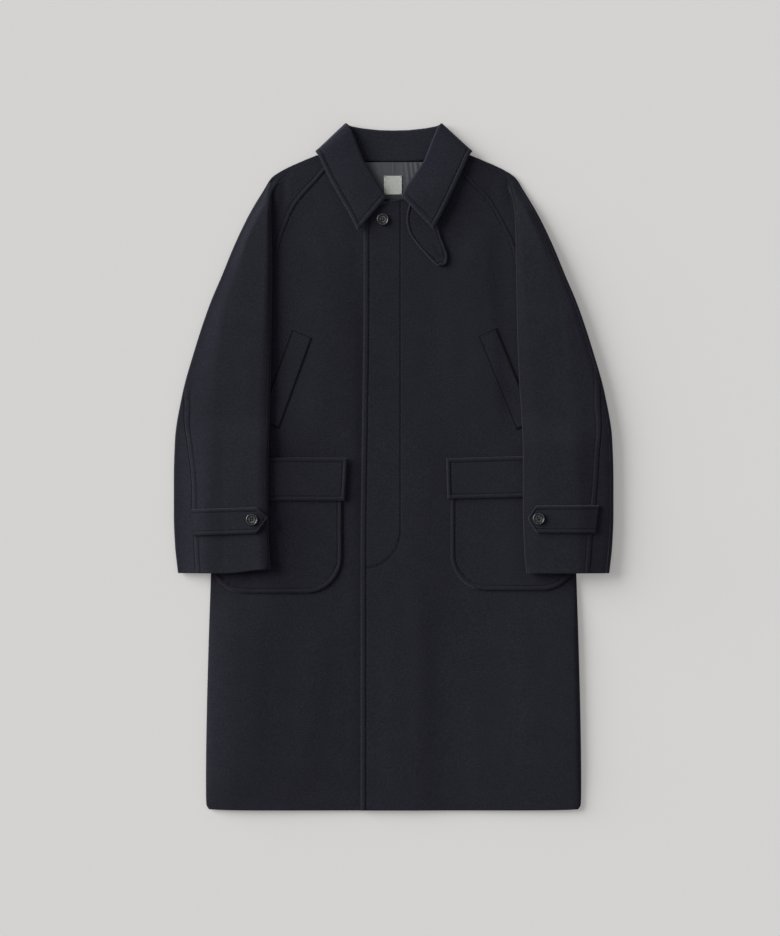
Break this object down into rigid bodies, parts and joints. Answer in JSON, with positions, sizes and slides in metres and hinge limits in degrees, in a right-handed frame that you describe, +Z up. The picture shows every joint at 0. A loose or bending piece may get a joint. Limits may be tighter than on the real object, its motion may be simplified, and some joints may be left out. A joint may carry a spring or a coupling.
{
  "type": "balmacaan coat, laid flat",
  "caption": "Dark navy balmacaan coat with raglan sleeves, fly front, throat tab, welt and flap pockets, laid flat.",
  "frame": {"origin": "centre of the bounding box, on the surface that the coat lies on", "axes": "+X to the right seen from above, +Y from the hem to the collar, +Z up from the surface"},
  "size_m": [0.7354, 1.1469, 0.025],
  "materials": {
    "navy_melton": "matte",
    "grey_lining": "satin",
    "pale_label": "matte",
    "black_button": "gloss"
  },
  "bodies": {
    "root": {"back": "navy_melton", "neck_lining": "grey_lining", "neck_label": "pale_label", "collar": "navy_melton", "throat_tab": "navy_melton", "front_left": "navy_melton", "front_right": "navy_melton", "sleeve_front_left": "navy_melton", "sleeve_front_right": "navy_melton", "sleeve_back_left": "navy_melton", "sleeve_back_right": "navy_melton", "welt_left": "navy_melton", "welt_right": "navy_melton", "patch_pocket_left": "navy_melton", "patch_pocket_right": "navy_melton", "pocket_flap_left": "navy_melton", "pocket_flap_right": "navy_melton", "cuff_tab_left": "navy_melton", "cuff_tab_right": "navy_melton", "button_front": "black_button", "button_cuff_left": "black_button", "button_cuff_right": "black_button"}
  },
  "joints": []
}
